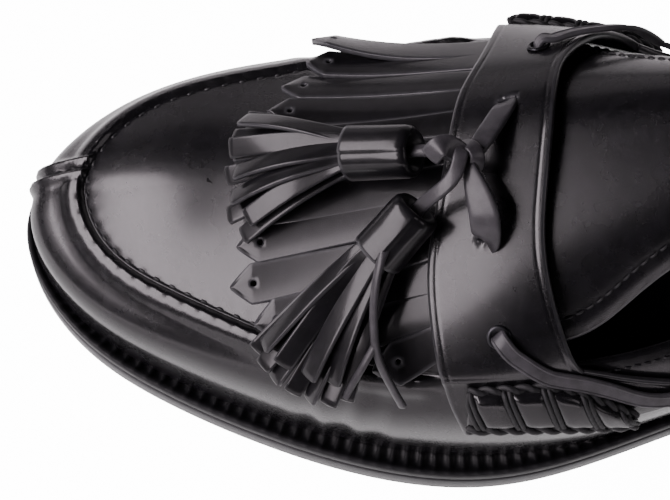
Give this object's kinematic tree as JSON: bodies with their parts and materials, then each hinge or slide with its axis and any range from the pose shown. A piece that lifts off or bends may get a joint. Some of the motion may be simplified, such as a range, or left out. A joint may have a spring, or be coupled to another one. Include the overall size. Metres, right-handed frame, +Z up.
{
  "type": "kiltie loafer",
  "caption": "Left kiltie loafer in black polished leather: hand-sewn apron, fringed flap under a saddle strap with a knotted thong and two tassels, welted sole and low heel.",
  "frame": {"origin": "on the floor under the middle of the shoe's bounding box", "axes": "+X to the toe, +Y to the outer side of the left foot, +Z up"},
  "size_m": [0.3013, 0.1075, 0.0944],
  "materials": {
    "outsole": "satin black sole edge, smooth underside",
    "heel_stack": "black waxed stacked lifts",
    "heel_top_piece": "matt black rubber",
    "welt": "black wheeled welt",
    "insole": "black lining leather",
    "upper": "black high gloss polished leather",
    "tongue": "black high gloss polished leather",
    "kiltie": "black high gloss polished leather",
    "saddle": "black high gloss polished leather",
    "beef_roll": "black polished leather, sewn with thick waxed thread",
    "eyelet": "black enamelled ring",
    "collar_lace": "black waxed flat lace",
    "thong": "black polished flat thong",
    "tassel": "black polished leather strips"
  },
  "bodies": {
    "root": {"outsole": "outsole", "heel_stack": "heel_stack", "heel_top_piece": "heel_top_piece", "welt": "welt", "insole": "insole", "upper": "upper", "tongue": "tongue", "kiltie": "kiltie", "saddle": "saddle", "beef_roll_lateral": "beef_roll", "beef_roll_medial": "beef_roll", "eyelet_lateral": "eyelet", "eyelet_medial": "eyelet", "collar_lace": "collar_lace", "thong_knot": "thong", "tassel_front": "tassel", "tassel_side": "tassel"}
  },
  "joints": []
}
